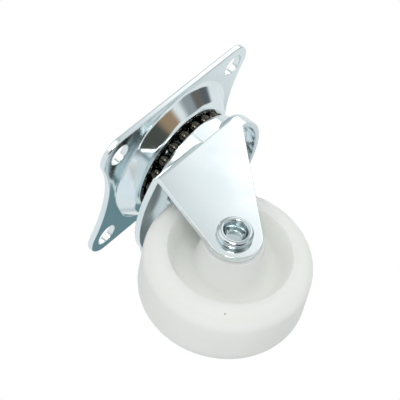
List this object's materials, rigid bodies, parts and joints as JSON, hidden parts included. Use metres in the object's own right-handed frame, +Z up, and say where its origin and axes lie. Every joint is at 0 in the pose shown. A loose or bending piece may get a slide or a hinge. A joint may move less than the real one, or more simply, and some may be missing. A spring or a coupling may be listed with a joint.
{
  "type": "swivel castor",
  "caption": "Swivel castor with a four-hole mounting plate, a double ball race, a pressed steel fork and a solid white plastic wheel on a riveted axle.",
  "frame": {"origin": "on the swivel axis at the level of the mounting plate's top face, the centre of the four-hole pattern", "axes": "+Z up, out of the plate towards what the castor is fixed under; X along the plate's long side; at rest the wheel trails towards -X; Y along the axle"},
  "size_m": [0.0639, 0.0416, 0.0546],
  "materials": {
    "plate_zinc": "bright zinc plate, cool blue tint",
    "pin_zinc": "bright zinc plate",
    "cup_zinc": "bright zinc plate",
    "fork_zinc": "bright zinc plate, cool tint",
    "rivet_zinc": "bright zinc plate, rolled",
    "ball_steel": "polished bearing steel",
    "wheel_plastic": "translucent white polypropylene"
  },
  "bodies": {
    "plate_body": {"mounting_plate": "plate_zinc", "kingpin": "pin_zinc", "lower_cup": "cup_zinc"},
    "fork_body": {"fork": "fork_zinc", "axle_rivet": "rivet_zinc"},
    "wheel_body": {"wheel": "wheel_plastic"},
    "ball_body": {"lower_ball_01": "ball_steel", "lower_ball_02": "ball_steel", "lower_ball_03": "ball_steel", "lower_ball_04": "ball_steel", "lower_ball_05": "ball_steel", "lower_ball_06": "ball_steel", "lower_ball_07": "ball_steel", "lower_ball_08": "ball_steel", "lower_ball_09": "ball_steel", "lower_ball_10": "ball_steel", "lower_ball_11": "ball_steel", "lower_ball_12": "ball_steel", "lower_ball_13": "ball_steel", "lower_ball_14": "ball_steel", "upper_ball_01": "ball_steel", "upper_ball_02": "ball_steel", "upper_ball_03": "ball_steel", "upper_ball_04": "ball_steel", "upper_ball_05": "ball_steel", "upper_ball_06": "ball_steel", "upper_ball_07": "ball_steel", "upper_ball_08": "ball_steel", "upper_ball_09": "ball_steel", "upper_ball_10": "ball_steel", "upper_ball_11": "ball_steel", "upper_ball_12": "ball_steel", "upper_ball_13": "ball_steel", "upper_ball_14": "ball_steel", "upper_ball_15": "ball_steel", "upper_ball_16": "ball_steel", "upper_ball_17": "ball_steel", "upper_ball_18": "ball_steel", "upper_ball_19": "ball_steel", "upper_ball_20": "ball_steel", "upper_ball_21": "ball_steel", "upper_ball_22": "ball_steel"}
  },
  "joints": [
    {"name": "swivel", "type": "hinge", "parent": "plate_body", "child": "fork_body", "pos_m": [0, 0, 0], "axis": [0, 0, 1], "continuous": true},
    {"name": "ball_orbit", "type": "hinge", "parent": "plate_body", "child": "ball_body", "pos_m": [0, 0, 0], "axis": [0, 0, 1], "continuous": true},
    {"name": "wheel_spin", "type": "hinge", "parent": "fork_body", "child": "wheel_body", "pos_m": [-0.0182, 0, -0.0347], "axis": [0, 1, 0], "continuous": true}
  ],
  "couplings": [
    {"joint": "ball_orbit", "follows": "swivel", "ratio": 0.5}
  ]
}
